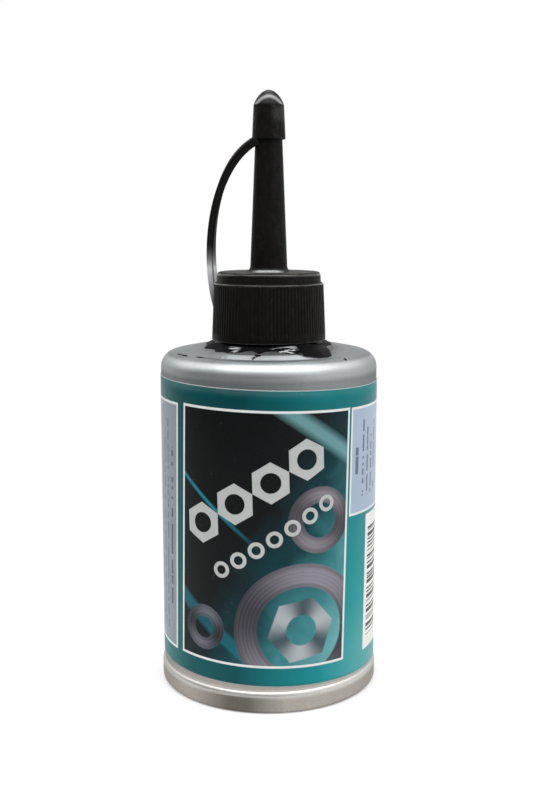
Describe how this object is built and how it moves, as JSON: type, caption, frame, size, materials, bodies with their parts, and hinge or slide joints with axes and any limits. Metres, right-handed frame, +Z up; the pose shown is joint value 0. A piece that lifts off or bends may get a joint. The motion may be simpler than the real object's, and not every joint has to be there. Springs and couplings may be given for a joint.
{
  "type": "grease squeeze bottle",
  "caption": "Round squeeze bottle of graphite grease with a printed label, a ribbed screw cap carrying a long tapered spout, and a small domed tip cap on a strap.",
  "frame": {"origin": "middle of the foot, in the plane of the ring that the bottle stands on", "axes": "+Z up along the bottle's axis, the front of the label faces -Y, the strap lies towards -X"},
  "size_m": [0.0426, 0.0426, 0.1143],
  "materials": {
    "silver_plastic": "polyethylene with silver metallic pigment, satin",
    "printed_film": "printed plastic film, satin",
    "grease": "wet black graphite grease",
    "liner_foam": "foamed polyethylene sheet",
    "black_plastic": "moulded black polyethylene, slightly glossy"
  },
  "bodies": {
    "bottle": {"bottle": "silver_plastic", "label": "printed_film", "graphite_grease": "grease", "grease_residue": "grease"},
    "liner": {"seal_liner": "liner_foam"},
    "closure": {"nozzle_cap": "black_plastic", "tether_strap": "black_plastic"},
    "tip_cap": {"tip_cap": "black_plastic"}
  },
  "joints": [
    {"name": "cap_rise", "type": "slide", "parent": "bottle", "child": "liner", "axis": [0, 0, 1], "range_m": [0, 0.0048]},
    {"name": "cap_unscrew", "type": "hinge", "parent": "liner", "child": "closure", "pos_m": [0, 0, 0.0675], "axis": [0, 0, 1], "range_deg": [0, 540]},
    {"name": "tip_pull", "type": "slide", "parent": "closure", "child": "tip_cap", "axis": [0, 0, 1], "range_m": [0, 0.005], "deforming": ["tether_strap"]}
  ],
  "couplings": [
    {"joint": "cap_rise", "follows": "cap_unscrew", "m_per_rad": 0.00050532}
  ]
}
